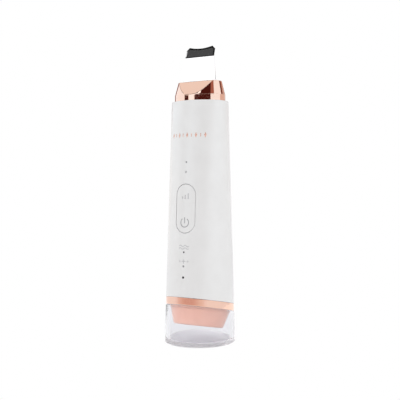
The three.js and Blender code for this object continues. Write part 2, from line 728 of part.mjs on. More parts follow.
piece('rocker_key', rockerKey(), 'white');
piece('key_bracket', keyBracket(), 'darkPlastic');
piece('key_pivot_pin', rodX([-5.7, 5.7], KEY_PIVOT_Y, KEY_CENTRE_Z, PIN_RADIUS), 'steel');
piece('level_switch', tactSwitch(1), 'darkPlastic');
piece('level_plunger', switchPlunger(1), 'silicone');
piece('power_switch', tactSwitch(-1), 'darkPlastic');
piece('power_plunger', switchPlunger(-1), 'silicone');

piece('main_board', mainBoard(), 'boardGreen');
for (const [name, spot] of Object.entries(BOARD_SCREWS)) {
  piece(name, boardScrew(spot), 'steel');
}
for (const [name, z] of Object.entries(INDICATORS)) {
  piece(LENS_NAMES[name], indicatorLens(z), name === 'charge' ? 'blackLens' : 'greyLens');
  piece(`led_${name}`, indicatorLed(z), 'ceramic');
}
piece('chassis', chassis(), 'darkPlastic');

piece('battery_cell', batteryCell(), 'wrap');
piece('battery_tab_upper', batteryTab([106.8, 107.1], [102.0, 107.1]), 'steel');
piece('battery_tab_lower', batteryTab([55.4, 55.7], [55.4, 60.0]), 'steel');
piece('battery_lead_upper', lead(LEAD_ROUTES.batteryUpper, 0.6, 4), 'redWire');
piece('battery_lead_lower', lead(LEAD_ROUTES.batteryLower, 0.6, 4), 'blackWire');

piece('plasma_housing', plasmaHousing(), 'pink');
piece('plasma_plate', plasmaPlate(), 'ceramic');
piece('plate_terminal', plateTerminal(), 'brass');
piece('plasma_lead', lead(LEAD_ROUTES.plasma, 0.6), 'redWire');
piece('base_frame', baseFrame(), 'darkPlastic');
piece('base_screw_left', baseScrew(-1), 'steel');
piece('base_screw_right', baseScrew(1), 'steel');
piece('hv_core', hvCore(), 'darkPlastic');
piece('hv_coil', hvCoil(), 'copper');
piece('hv_board', block([-7.8, 7.8], [-5.4, -4.2], [35.0, 54.0]), 'boardGreen');

piece('usb_shell', usbShell(), 'steel');
piece('usb_tongue', usbTongue(), 'darkPlastic');
piece('usb_board', block([-9.2, 9.2], [7.0, 16.8], [42.0, 43.0]), 'boardGreen');
piece('usb_lead', lead(LEAD_ROUTES.usb, 0.6), 'blackWire');

export default scrubber;
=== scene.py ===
"""Looks of a two-in-one skin scrubber that stands in its clear cap.

Angles round the body start at the key's side (-Y) and grow towards +X. Sizes are in metres, written
as millimetres times MM.
"""
import json
import math

import bmesh
import bpy
from mathutils import Matrix, Vector


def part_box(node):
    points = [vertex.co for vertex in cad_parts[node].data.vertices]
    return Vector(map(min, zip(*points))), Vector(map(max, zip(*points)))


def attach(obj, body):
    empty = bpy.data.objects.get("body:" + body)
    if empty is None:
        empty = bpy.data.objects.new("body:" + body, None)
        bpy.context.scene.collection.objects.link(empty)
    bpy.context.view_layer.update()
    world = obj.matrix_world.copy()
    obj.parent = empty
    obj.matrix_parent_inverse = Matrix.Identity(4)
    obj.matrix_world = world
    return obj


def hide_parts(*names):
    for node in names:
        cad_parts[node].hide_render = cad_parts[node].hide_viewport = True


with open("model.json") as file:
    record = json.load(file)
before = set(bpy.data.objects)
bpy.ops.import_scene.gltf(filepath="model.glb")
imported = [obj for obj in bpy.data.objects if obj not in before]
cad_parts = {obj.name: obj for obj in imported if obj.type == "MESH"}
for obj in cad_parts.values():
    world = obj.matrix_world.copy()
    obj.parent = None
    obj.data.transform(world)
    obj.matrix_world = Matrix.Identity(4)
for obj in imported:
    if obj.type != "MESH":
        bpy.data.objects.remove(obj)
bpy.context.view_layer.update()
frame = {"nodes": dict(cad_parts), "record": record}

MM = 0.001

# ---- driving dimensions, the same as the CAD model's ----

LEAN = math.radians(12)
SLOPE = math.tan(LEAN)
BODY_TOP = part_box("body_shell")[1].z
BODY_WALL = 1.8 * MM
RING_UPPER = 26.75 * MM
RING_LOWER = 22.05 * MM
PLASMA_FACE = 9.7 * MM
SEAM = 0.06 * MM
STRAIGHTENS_AT = 60 * MM

KEY_Z = sum(corner.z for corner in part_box("rocker_key")) / 2
KEY_HALF_HEIGHT = (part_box("rocker_key")[1].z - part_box("rocker_key")[0].z) / 2
KEY_HALF_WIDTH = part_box("rocker_key")[1].x
KEY_GAP = 0.25 * MM
KEY_THICK = 1.5 * MM
SWITCH_OFFSET = 8.5 * MM
PIVOT_Y = -15.1 * MM
NIB_TIP = -14.5 * MM

HEAD_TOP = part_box("head_shell")[1].z
HEAD_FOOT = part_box("head_shell")[0].z
HEAD_SHOULDER = 161.4 * MM
HEAD_HALF = (17.45 * MM, 13.2 * MM)
HEAD_TOP_HALF = (15.45 * MM, 9.4 * MM)
FACET_EDGE = 5.5 * MM
FACET_LEAN = math.radians(50)

BLADE_Y = -0.4 * MM
BLADE_THICK = 0.6 * MM
BLADE_ROOT = 167.5 * MM
BLADE_BEND = 187.0 * MM
BLADE_LEAN = math.radians(17)
HORN_HALF = 8.5 * MM
TIP_HALF = 10.7 * MM
USB_Z = 45.0 * MM
LENS_RADII = {
    "level_lens_upper": 0.55 * MM,
    "level_lens_lower": 0.62 * MM,
    "peeling_lens": 0.52 * MM,
    "plasma_lens": 0.62 * MM,
    "charge_lens": 0.74 * MM,
}
ROUND = 144

CARD_EYE = 160 * MM
CARD_FAR = 1.2
# the floor glows a little less near the middle than far out: a painted shade round the foot
FLOOR_GLOW_NEAR = 0.28
FLOOR_GLOW_FAR = 0.3


def lens_height(node):
    return sum(corner.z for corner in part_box(node)) / 2


def body_half(z):
    """Half width and half depth of the tapered oval body at height z."""
    high = z / MM
    return (23.0 - 0.0225 * high) * MM, (24.0 - 0.047 * high - 0.000055 * high * high) * MM


# ---- mesh helpers ----


def make(name, points, faces, material=None, sharp=35):
    mesh = bpy.data.meshes.new(name)
    mesh.from_pydata([tuple(point) for point in points], [], faces)
    mesh.validate()
    piece = bpy.data.objects.new(name, mesh)
    bpy.context.scene.collection.objects.link(piece)
    tidy(piece, sharp)
    if material:
        mesh.materials.append(material)
    return piece


def tidy(piece, sharp=35):
    """Outward faces, smooth shading, and hard edges only where the surface turns sharply."""
    work = bmesh.new()
    work.from_mesh(piece.data)
    bmesh.ops.remove_doubles(work, verts=work.verts, dist=0.002 * MM)
    bmesh.ops.recalc_face_normals(work, faces=work.faces)
    work.to_mesh(piece.data)
    work.free()
    piece.data.shade_smooth()
    piece.data.set_sharp_from_angle(angle=math.radians(sharp))


def baked(piece):
    """Replaces the piece's mesh by what its modifiers make of it."""
    graph = bpy.context.evaluated_depsgraph_get()
    mesh = bpy.data.meshes.new_from_object(piece.evaluated_get(graph))
    piece.modifiers.clear()
    piece.data = mesh
    return piece


def combine(piece, tools, operation):
    for tool in tools:
        step = piece.modifiers.new("join", "BOOLEAN")
        step.operation = operation
        step.solver = "EXACT"
        step.object = tool
    baked(piece)
    for tool in tools:
        bpy.data.objects.remove(tool)
    tidy(piece)
    return piece


def bevel(piece, width, segments=3, angle=40):
    step = piece.modifiers.new("edge", "BEVEL")
    step.width = width
    step.segments = segments
    step.limit_method = "ANGLE"
    step.angle_limit = math.radians(angle)
    step.harden_normals = True
    return step


def skin(name, loops, material=None, closed=False, sharp=35):
    """Joins loops of equally many points. closed joins the last loop to the first, else both are capped."""
    count = len(loops[0])
    points = [point for loop in loops for point in loop]
    faces = []
    spans = len(loops) if closed else len(loops) - 1
    for i in range(spans):
        low, high = i * count, ((i + 1) % len(loops)) * count
        for k in range(count):
            nxt = (k + 1) % count
            faces.append((low + k, low + nxt, high + nxt, high + k))
    if not closed:
        faces.append(tuple(range(count)))
        faces.append(tuple(range(len(points) - count, len(points))))
    return make(name, points, faces, material, sharp)


def grid_faces(rows, columns):
    """Faces between so many rows and columns of points."""
    return [(i * columns + k, i * columns + k + 1, (i + 1) * columns + k + 1, (i + 1) * columns + k)
            for i in range(rows - 1) for k in range(columns - 1)]


def box_piece(name, low, high, material=None):
    corners = [Vector((x, y, z)) for z in (low[2], high[2])
               for x, y in ((low[0], low[1]), (high[0], low[1]), (high[0], high[1]), (low[0], high[1]))]
    return skin(name, [corners[:4], corners[4:]], material)


def rod_piece(name, start, end, radius):
    """A round bar between two points."""
    along = (end - start).normalized()
    turn = along.to_track_quat("Z", "Y").to_matrix()
    loops = []
    for centre in (start, end):
        loops.append([centre + turn @ Vector((radius * math.cos(a), radius * math.sin(a), 0))
                      for a in angles(32)])
    return skin(name, loops)


def front_rod(name, x, z, y_low, y_high, radius):
    """A round bar along Y."""
    return rod_piece(name, Vector((x, y_low, z)), Vector((x, y_high, z)), radius)


def angles(count):
    return [2 * math.pi * k / count for k in range(count)]


def oval_loop(level, inset, slope=0.0):
    """Points of the body's surface on a plane that leans up towards the front, moved inwards by inset."""
    loop = []
    for a in angles(ROUND):
        z = level
        for _ in range(8):
            depth = body_half(z)[1] - inset
            z = level + slope * depth * math.cos(a)
        width = body_half(z)[0] - inset
        loop.append(Vector((width * math.sin(a), -depth * math.cos(a), z)))
    return loop


def ellipse_loop(level, width, depth, slope=0.0):
    return [Vector((width * math.sin(a), -depth * math.cos(a), level + slope * depth * math.cos(a)))
            for a in angles(ROUND)]


def leaning(level, upright, slanted):
    """Slope of a loop at a level: none at the upright level, the ring's own at the slanted one."""
    return SLOPE * max(0.0, min(1.0, (level - upright) / (slanted - upright)))


def quarter(radius, steps=4):
    """(along, inset) pairs of a rounded edge, from its flat side to its upright side."""
    turns = [math.pi / 2 * k / steps for k in range(steps + 1)]
    return [(radius * (1 - math.sin(t)), radius * (1 - math.cos(t))) for t in reversed(turns)]


def on_plasma_axis(point):
    """From the plasma head's own upright frame, with its face at z = 0, to where it leans."""
    drop = (RING_LOWER - PLASMA_FACE) * math.cos(LEAN)
    foot = Vector((0, -drop * math.sin(LEAN), RING_LOWER - drop * math.cos(LEAN)))
    return Matrix.Rotation(-LEAN, 3, "X") @ point + foot


def lathe_loops(profile, count=ROUND, place=None):
    loops = [[Vector((r * math.sin(a), -r * math.cos(a), z)) for a in angles(count)] for r, z in profile]
    if place:
        loops = [[place(point) for point in loop] for loop in loops]
    return loops


def pill(half_width, half_height, centre=0.0, count=24):
    """(x, z) points round an upright pill, anticlockwise from its lower right."""
    straight = half_height - half_width
    points = []
    for start, middle in ((0, centre + straight), (math.pi, centre - straight)):
        for k in range(count + 1):
            turn = start + math.pi * k / count
            points.append((half_width * math.cos(turn), middle + half_width * math.sin(turn)))
    return points


def slot_outline(half_width, half_height, centre=0.0, count=16):
    """(x, z) points round a pill that lies on its side."""
    return [(z, centre - x) for x, z in pill(half_height, half_width, 0.0, count)]


def front_prism(name, outline, y_low, y_high):
    return skin(name, [[Vector((x, y, z)) for x, z in outline] for y in (y_low, y_high)])


def on_front(x, z, depth=0.0):
    """The point of the body's front, seen from -Y at (x, z), moved inwards along Y by depth."""
    width, deep = body_half(z)
    return Vector((x, -deep * math.sqrt(max(0.0, 1 - (x / width) ** 2)) + depth, z))


# ---- materials ----


def fill(node, **sockets):
    """Sets input sockets by their titles, written in lower case with underscores."""
    for title, value in sockets.items():
        node.inputs[title.replace("_", " ").title().replace("Ior", "IOR")].default_value = value


class Look:
    """A Principled material with nodes for fine variation, built step by step."""

    def __init__(self, name, colour, roughness, metallic=0.0, **sockets):
        self.material = bpy.data.materials.new(name)
        self.material.use_nodes = True
        self.tree = self.material.node_tree
        self.shader = self.tree.nodes["Principled BSDF"]
        fill(self.shader, base_color=(*colour, 1), roughness=roughness, metallic=metallic, **sockets)
        self.colour = colour
        self.roughness = roughness
        self.place = self.node("ShaderNodeTexCoord").outputs["Object"]
        self.bumps = None

    def node(self, kind, **settings):
        made = self.tree.nodes.new(kind)
        for key, value in settings.items():
            setattr(made, key, value)
        return made

    def link(self, source, target):
        self.tree.links.new(source, target)

    def noise(self, scale, detail=3.0, stretch=(1, 1, 1), roughness=0.55):
        spread = self.node("ShaderNodeMapping")
        fill(spread, scale=stretch)
        texture = self.node("ShaderNodeTexNoise")
        fill(texture, scale=scale, detail=detail, roughness=roughness)
        self.link(self.place, spread.inputs["Vector"])
        self.link(spread.outputs["Vector"], texture.inputs["Vector"])
        return texture.outputs["Fac"]

    def spread(self, source, low, high, source_low=0.3, source_high=0.7):
        span = self.node("ShaderNodeMapRange")
        fill(span, from_min=source_low, from_max=source_high, to_min=low, to_max=high)
        self.link(source, span.inputs["Value"])
        return span.outputs["Result"]

    def vary_roughness(self, scale, amount, **noise):
        value = self.spread(self.noise(scale, **noise), self.roughness - amount, self.roughness + amount)
        self.link(value, self.shader.inputs["Roughness"])
        return self

    def mix_in(self, other, factor):
        """Mixes another colour into what the base colour is so far."""
        mix = self.node("ShaderNodeMix", data_type="RGBA")
        colour = self.shader.inputs["Base Color"]
        if colour.is_linked:
            self.link(colour.links[0].from_socket, mix.inputs["A"])
        else:
            fill(mix, a=(*self.colour, 1))
        fill(mix, b=(*other, 1))
        self.link(factor, mix.inputs["Factor"])
        self.link(mix.outputs["Result"], colour)
        return self

    def vary_colour(self, scale, other, share=1.0, **noise):
        return self.mix_in(other, self.spread(self.noise(scale, **noise), 0, share))

    def bump(self, scale, depth, **noise):
        """Fine relief, depth in metres; later calls add to earlier ones."""
        relief = self.node("ShaderNodeBump")
        fill(relief, distance=depth, strength=1.0)
        self.link(self.noise(scale, **noise), relief.inputs["Height"])
        if self.bumps:
            self.link(self.bumps, relief.inputs["Normal"])
        self.bumps = relief.outputs["Normal"]
        self.link(self.bumps, self.shader.inputs["Normal"])
        return self

    def worn_edges(self, other, share):
        """Convex edges take on another colour, as handled edges do."""
        pointiness = self.node("ShaderNodeNewGeometry").outputs["Pointiness"]
        return self.mix_in(other, self.spread(pointiness, 0, share, 0.52, 0.62))


def white_moulding():
    look = Look("white_moulding", (0.622, 0.618, 0.614), 0.40, coat_weight=0.5, coat_roughness=0.25)
    look.vary_colour(90, (0.65, 0.648, 0.645), 0.8)
    look.vary_roughness(260, 0.05)
    look.bump(5200, 0.004 * MM, detail=2.0)
    return look.worn_edges((0.66, 0.66, 0.67), 0.5).material


def rose_gold():
    look = Look("rose_gold", (0.85, 0.57, 0.45), 0.05, metallic=1.0)
    look.vary_colour(60, (0.87, 0.59, 0.465), 0.8)
    look.vary_roughness(420, 0.02, stretch=(1, 1, 0.3))
    look.bump(900, 0.0006 * MM, detail=2.0)
    return look.worn_edges((0.95, 0.70, 0.58), 0.5).material


def pink_moulding():
    look = Look("pink_moulding", (0.965, 0.54, 0.43), 0.38, coat_weight=0.2, coat_roughness=0.25)
    look.vary_colour(80, (0.975, 0.57, 0.46), 0.8)
    look.vary_roughness(300, 0.05)
    look.bump(4200, 0.004 * MM, detail=2.0)
    return look.worn_edges((0.80, 0.52, 0.46), 0.6).material


def clear_acrylic():
    look = Look("clear_acrylic", (0.965, 0.965, 0.975), 0.02, transmission_weight=1.0, ior=1.49)
    look.vary_roughness(140, 0.012)
    look.bump(160, 0.002 * MM, detail=1.0)
    return look.material


def frosted_acrylic():
    look = Look("frosted_acrylic", (0.90, 0.895, 0.93), 0.42, transmission_weight=1.0, ior=1.49)
    look.vary_roughness(300, 0.05)
    look.bump(2200, 0.004 * MM)
    return look.material


def polished_steel():
    look = Look("polished_steel", (0.80, 0.80, 0.81), 0.09, metallic=1.0)
    look.vary_colour(500, (0.76, 0.76, 0.775), 0.7, stretch=(1, 1, 0.04))
    look.vary_roughness(900, 0.03, stretch=(1, 1, 0.03))
    look.bump(2600, 0.0008 * MM, detail=2.0, stretch=(1, 1, 0.02))
    return look.worn_edges((0.88, 0.88, 0.89), 0.7).material


def silicone():
    look = Look("silicone", (0.78, 0.76, 0.75), 0.6, subsurface_weight=0.1)
    fill(look.shader, subsurface_scale=0.5 * MM)
    look.vary_colour(200, (0.74, 0.72, 0.71), 0.7)
    look.vary_roughness(500, 0.08)
    return look.bump(3000, 0.006 * MM).material


def indicator(name, colour, other):
    look = Look(name, colour, 0.22, coat_weight=0.3, coat_roughness=0.1)
    look.vary_colour(1500, other, 0.8)
    look.vary_roughness(900, 0.06)
    return look.bump(2500, 0.003 * MM).material


def printed_ink(name, colour, metallic=0.0):
    look = Look(name, colour, 0.45 if metallic == 0 else 0.25, metallic=metallic)
    look.vary_colour(1200, tuple(0.88 * c for c in colour), 0.8)
    look.vary_roughness(1500, 0.08)
    return look.bump(6000, 0.003 * MM).material


def emitter_ceramic():
    look = Look("emitter_ceramic", (0.82, 0.79, 0.74), 0.2, coat_weight=0.4, coat_roughness=0.08)
    look.vary_colour(260, (0.77, 0.74, 0.69), 0.8)
    look.vary_roughness(400, 0.06)
    return look.bump(1600, 0.003 * MM).material


INTERNAL_LOOKS = {
    # slot: (colour, other colour, roughness, metallic, grain scale, relief in mm, stretch)
    "plain_steel": ((0.50, 0.51, 0.53), (0.40, 0.41, 0.43), 0.32, 1.0, 1400, 0.003, (1, 1, 0.1)),
    "horn_aluminium": ((0.62, 0.63, 0.65), (0.54, 0.55, 0.57), 0.35, 1.0, 1800, 0.003, (1, 1, 8)),
    "brass": ((0.66, 0.45, 0.16), (0.55, 0.36, 0.12), 0.28, 1.0, 1300, 0.003, (1, 1, 1)),
    "piezo_ceramic": ((0.64, 0.59, 0.47), (0.56, 0.51, 0.40), 0.6, 0.0, 2200, 0.008, (1, 1, 1)),
    "led_body": ((0.86, 0.82, 0.62), (0.80, 0.74, 0.50), 0.35, 0.0, 1500, 0.003, (1, 1, 1)),
    "circuit_board": ((0.02, 0.15, 0.07), (0.03, 0.22, 0.10), 0.4, 0.0, 700, 0.012, (1, 1, 0.3)),
    "dark_plastic": ((0.03, 0.031, 0.034), (0.045, 0.046, 0.05), 0.55, 0.0, 2600, 0.008, (1, 1, 1)),
    "cell_wrap": ((0.05, 0.15, 0.42), (0.07, 0.19, 0.48), 0.3, 0.0, 600, 0.01, (1, 1, 0.2)),
    "copper_wire": ((0.55, 0.24, 0.11), (0.42, 0.17, 0.07), 0.35, 1.0, 2500, 0.05, (0.1, 0.1, 1)),
    "red_wire": ((0.42, 0.02, 0.02), (0.34, 0.015, 0.015), 0.45, 0.0, 1800, 0.004, (1, 1, 1)),
    "black_wire": ((0.012, 0.012, 0.013), (0.02, 0.02, 0.021), 0.45, 0.0, 1800, 0.004, (1, 1, 1)),
}


def internal(slot_name):
    colour, other, roughness, metallic, scale, relief, stretch = INTERNAL_LOOKS[slot_name]
    look = Look(slot_name, colour, roughness, metallic=metallic)
    look.vary_colour(scale / 4, other, 0.9, stretch=stretch)
    look.vary_roughness(scale / 2, 0.07, stretch=stretch)
    look.bump(scale, relief * MM, stretch=stretch)
    return look.worn_edges(tuple(min(1.0, 1.25 * c) for c in colour), 0.5).material


WHITE = white_moulding()
ROSE_GOLD = rose_gold()
PINK = pink_moulding()
ACRYLIC = clear_acrylic()
FROSTED = frosted_acrylic()
STEEL = polished_steel()
SILICONE = silicone()
GREY_LENS = indicator("grey_lens", (0.24, 0.24, 0.25), (0.30, 0.30, 0.31))
BLACK_LENS = indicator("black_lens", (0.01, 0.01, 0.011), (0.02, 0.02, 0.021))
PALE_LENS = indicator("pale_lens", (0.42, 0.42, 0.43), (0.48, 0.48, 0.49))
LENS_LOOKS = {"charge_lens": BLACK_LENS, "peeling_lens": BLACK_LENS, "level_lens_lower": PALE_LENS}
PALE_INK = printed_ink("pale_ink", (0.48, 0.48, 0.49))
GREY_INK = printed_ink("grey_ink", (0.33, 0.33, 0.34))
ROSE_INK = printed_ink("rose_ink", (0.84, 0.52, 0.42), 0.5)
CERAMIC = emitter_ceramic()


def place(piece, body, slot_name, *nodes):
    """The piece rides on a body and stands for the CAD nodes. Its slot_name is not used."""
    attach(piece, body)
    if nodes:
        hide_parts(*nodes)
    return piece


# ---- body ----


def body_loops():
    """Outer and inner wall of the tube: leaning at the ring, upright from STRAIGHTENS_AT up."""
    foot = RING_UPPER + SEAM
    outer = [(BODY_TOP - along, inset) for along, inset in quarter(0.45 * MM)]
    rows = 44
    low, high = foot + 0.3 * MM, BODY_TOP - 1.2 * MM
    outer += [(high + (low - high) * k / rows, 0.0) for k in range(rows + 1)]
    outer += [(foot + along, inset) for along, inset in reversed(quarter(0.15 * MM, 3))]
    inner = [(foot, BODY_WALL), (RING_UPPER + 6 * MM, BODY_WALL)]
    inner += [(level * MM, BODY_WALL) for level in range(40, 156, 8)]
    inner += [(BODY_TOP - 0.25 * MM, BODY_WALL), (BODY_TOP - 0.06 * MM, BODY_WALL - 0.08 * MM)]
    inner += [(BODY_TOP, BODY_WALL - 0.25 * MM)]
    return [oval_loop(level, inset, leaning(level, STRAIGHTENS_AT, RING_UPPER))
            for level, inset in outer + inner]


def body_cutters():
    keyhole = front_prism("keyhole", pill(KEY_HALF_WIDTH + KEY_GAP, KEY_HALF_HEIGHT + KEY_GAP, KEY_Z),
                          -30 * MM, -8 * MM)
    socket = front_prism("socket", slot_outline(4.87 * MM, 2.03 * MM, USB_Z), 8 * MM, 30 * MM)
    holes = [front_rod("lens_hole", 0, lens_height(node), -30 * MM, -8 * MM, radius + 0.06 * MM)
             for node, radius in LENS_RADII.items()]
    return [keyhole, socket, *holes]


def oval_normal(point):
    """Outward normal of the body's oval at a point, or None off its surface."""
    width, depth = body_half(point.z)
    if abs((point.x / width) ** 2 + (point.y / depth) ** 2 - 1) > 0.001:
        return None
    narrowing = -0.0225 * point.x ** 2 / width ** 3
    narrowing += (-0.047 - 0.11 * point.z) * point.y ** 2 / depth ** 3
    return Vector((point.x / width ** 2, point.y / depth ** 2, -narrowing)).normalized()


def follow_oval(piece):
    """Outer faces take the oval's own normals, so the openings leave no trace in the gloss round them."""
    mesh = piece.data
    normals = [Vector(corner.vector) for corner in mesh.corner_normals]
    for face in mesh.polygons:
        for index in face.loop_indices:
            exact = oval_normal(mesh.vertices[mesh.loops[index].vertex_index].co)
            if exact and face.normal.dot(exact) > 0.97:
                normals[index] = exact
    mesh.normals_split_custom_set(normals)


def body_tube():
    tube = skin("body_tube", body_loops(), WHITE, closed=True)
    combine(tube, body_cutters(), "DIFFERENCE")
    follow_oval(tube)
    return place(tube, "handle", "white_shell", "body_shell")


def ring_band():
    """Rose-gold band flush with the body, with a spigot that reaches up into it."""
    edge = [(along, inset) for along, inset in quarter(0.22 * MM, 4)]
    loops = [oval_loop(RING_LOWER + along, inset, SLOPE) for along, inset in edge]
    steps = 6
    low, high = RING_LOWER + 0.3 * MM, RING_UPPER - 0.3 * MM
    loops += [oval_loop(low + (high - low) * k / steps, 0, SLOPE) for k in range(steps + 1)]
    loops += [oval_loop(RING_UPPER - along, inset, SLOPE) for along, inset in reversed(edge)]
    spigot = BODY_WALL + 0.3 * MM
    loops += [oval_loop(level, inset, SLOPE) for level, inset in (
        (RING_UPPER, spigot), (RING_UPPER + 3.8 * MM, spigot), (RING_UPPER + 4 * MM, spigot + 0.2 * MM),
        (RING_UPPER + 4 * MM, spigot + 1.5 * MM), (RING_LOWER, spigot + 1.5 * MM))]
    return place(skin("ring_band", loops, ROSE_GOLD, closed=True), "handle", "rose_gold", "trim_ring")


# ---- head ----


def facet_reach(level, inset):
    """How far from the middle, along Y, a facet passes at a height."""
    return FACET_EDGE + ((HEAD_TOP - level) * math.cos(FACET_LEAN) - inset) / math.sin(FACET_LEAN)


def head_columns(inset, top):
    """Angles round the head. The facets' corners get columns of their own, and their neighbours keep away."""
    shoulder = facet_reach(HEAD_SHOULDER, inset) / (HEAD_HALF[1] - inset)
    share = (top - HEAD_SHOULDER) / (HEAD_TOP - HEAD_SHOULDER)
    rim = facet_reach(top, inset) / (HEAD_HALF[1] + (HEAD_TOP_HALF[1] - HEAD_HALF[1]) * share - inset)
    corners = [turn for c in (math.acos(shoulder), math.acos(rim))
               for turn in (c, math.pi - c, math.pi + c, 2 * math.pi - c)]
    rest = [a for a in angles(160) if all(abs(a - c) > math.radians(3.4) for c in corners)]
    return sorted(corners + rest), shoulder, rim


def faceted_head(name, inset, foot, top, soft):
    """Upright oval drum that tapers above its shoulder and has a sloping facet cut off front and back."""
    columns, shoulder, rim = head_columns(inset, top)
    width, depth = (half - inset for half in HEAD_HALF)
    narrower, shallower = (high - low for high, low in zip(HEAD_TOP_HALF, HEAD_HALF))
    tall = HEAD_TOP - HEAD_SHOULDER
    points, stacks, lids, arcs = [], [], [], {-1: [], 1: []}

    def add(a, level):
        share = max(0.0, (level - HEAD_SHOULDER) / tall)
        points.append(Vector(((width + narrower * share) * math.sin(a),
                              -(depth + shallower * share) * math.cos(a), level)))
        return len(points) - 1

    for a in columns:
        c = abs(math.cos(a))
        side = -1 if math.cos(a) > 0 else 1
        drop = ((depth * c - FACET_EDGE) * math.sin(FACET_LEAN) + inset) / math.cos(FACET_LEAN)
        stack = [add(a, foot), add(a, HEAD_SHOULDER - 1.8 * MM)]
        if c > shoulder - 1e-6:
            stack.append(add(a, HEAD_TOP - drop))
        else:
            share = (tall - drop) / (tall + shallower * c * math.tan(FACET_LEAN))
            level = HEAD_SHOULDER + tall * share if c > rim + 1e-6 else top
            stack += [add(a, HEAD_SHOULDER), add(a, level)]
        if c > rim - 1e-6:
            arcs[side].append(stack[-1])
        if c < rim + 1e-6:
            lids.append(stack[-1])
        stacks.append(stack)
    faces = []
    for left, right in zip(stacks, stacks[1:] + stacks[:1]):
        faces.append((left[0], right[0], right[1], left[1]))
        faces.append((left[1], right[1], right[2], left[2]))
        if len(left) + len(right) > 6:
            faces.append(tuple(dict.fromkeys((left[2], right[2], right[-1], left[-1]))))
    wrap = [k for k in arcs[-1] if points[k].x >= 0]
    arcs[-1] = [k for k in arcs[-1] if points[k].x < 0] + wrap
    faces += [tuple(arcs[-1]), tuple(arcs[1]), tuple(lids), tuple(stack[0] for stack in stacks)]
    drum = make(name, points, faces, ROSE_GOLD, 30)
    if soft:
        work = bmesh.new()
        work.from_mesh(drum.data)
        flat = lambda face: abs(face.normal.x) < 1e-4 and abs(face.normal.z) > 0.3
        level = lambda edge: all(abs(v.co.z - HEAD_SHOULDER) < 0.01 * MM for v in edge.verts)
        hard = [edge for edge in work.edges
                if max(v.co.z for v in edge.verts) > foot + 0.1 * MM
                and (level(edge) or any(len(face.verts) > 6 and flat(face) for face in edge.link_faces))]
        bmesh.ops.bevel(work, geom=hard, offset=soft, segments=3, profile=0.5, affect="EDGES",
                        clamp_overlap=True)
        work.to_mesh(drum.data)
        work.free()
        tidy(drum, 30)
    return drum


def head_piece():
    wall = 1.6 * MM
    head = faceted_head("spatula_head", 0.0, HEAD_FOOT, HEAD_TOP, 0.2 * MM)
    hollow = faceted_head("hollow", wall, HEAD_FOOT - 1 * MM, HEAD_TOP - wall, 0.0)
    slit = skin("slit", [[Vector((x, y + BLADE_Y, z)) for x, y in slot_outline(12.95 * MM, 1.95 * MM)]
                         for z in (160 * MM, 175 * MM)])
    combine(head, [hollow, slit], "DIFFERENCE")
    head.data.set_sharp_from_angle(angle=math.radians(30))
    weigh = head.modifiers.new("weigh", "WEIGHTED_NORMAL")
    weigh.keep_sharp = True
    return place(head, "handle", "rose_gold", "head_shell")


# ---- spatula ----


def blade_middle(z):
    """Y of the middle of the sheet at height z: upright, then bent back round a small arc."""
    radius = 2.8 * MM
    start = BLADE_BEND - radius * math.tan(BLADE_LEAN / 2)
    end = start + radius * math.sin(BLADE_LEAN)
    if z <= start:
        return BLADE_Y
    if z >= end:
        return BLADE_Y + radius * (1 - math.cos(BLADE_LEAN)) + (z - end) * math.tan(BLADE_LEAN)
    return BLADE_Y + radius * (1 - math.cos(math.asin((z - start) / radius)))


def blade_half_width(z):
    """Narrow tail inside the head, widest at the root, then slightly tapered up to the bend."""
    tail, root, flare = 6.5 * MM, 11.9 * MM, 2.5 * MM
    if z < BLADE_ROOT - flare:
        return tail
    if z < BLADE_ROOT:
        return tail + (root - tail) * (z - BLADE_ROOT + flare) / flare
    if z < BLADE_BEND:
        return root - (root - TIP_HALF) * (z - BLADE_ROOT) / (BLADE_BEND - BLADE_ROOT)
    return TIP_HALF


def blade_tip(u):
    """Height of the working edge at share u of the half width: hollow middle, horns, cut corners."""
    x = abs(u) * TIP_HALF
    if x <= HORN_HALF:
        return (192.54 + 1.2 * (x / HORN_HALF) ** 2) * MM
    return (193.74 - 2.0 * (x - HORN_HALF) / (TIP_HALF - HORN_HALF)) * MM


def blade_piece():
    """One bent sheet whose tip is honed thinner along its sides and its working edge."""
    columns = sorted({*[k / 12 for k in range(-11, 12)], *[side * u for side in (-1, 1)
                      for u in (HORN_HALF / TIP_HALF, 0.91, 0.955, 1.0)]})
    upright = [153.0, 158.0, 163.0, 165.0, 166.3, 167.5, 169, 172, 175, 178, 181, 184, 186.0]
    upright += [186.4 + 0.15 * k for k in range(9)]
    tip = [0.0, 0.12, 0.25, 0.4, 0.55, 0.68, 0.76, 0.84, 0.92, 1.0]
    honed = {0.84: 0.86, 0.92: 0.72, 1.0: 0.56, 0.955: 0.82}
    points, thickness = [], []
    for z_row in upright[:-1]:
        for u in columns:
            z = z_row * MM
            points.append(Vector((u * blade_half_width(z), blade_middle(z), z)))
            thickness.append(1.0)
    last = upright[-1] * MM
    for share in tip:
        for u in columns:
            z = last + (blade_tip(u) - last) * share
            points.append(Vector((u * blade_half_width(z), blade_middle(z), z)))
            thickness.append(min(honed.get(share, 1.0), honed.get(abs(u), 1.0)))
    faces = grid_faces(len(points) // len(columns), len(columns))
    sheet = make("spatula_blade", points, faces, STEEL, 50)
    grind = sheet.vertex_groups.new(name="grind")
    for index, share in enumerate(thickness):
        grind.add([index], share, "REPLACE")
    thick = sheet.modifiers.new("thick", "SOLIDIFY")
    thick.thickness = BLADE_THICK
    thick.offset = 0.0
    thick.vertex_group = "grind"
    thick.thickness_vertex_group = 0.0
    baked(sheet)
    holes = [front_rod("screw_hole", x, 158.5 * MM, -5 * MM, 5 * MM, 1.3 * MM) for x in (-3.5 * MM, 3.5 * MM)]
    combine(sheet, holes, "DIFFERENCE")
    bevel(sheet, 0.1 * MM, 2, 60)
    return place(sheet, "handle", "polished_steel", "blade")


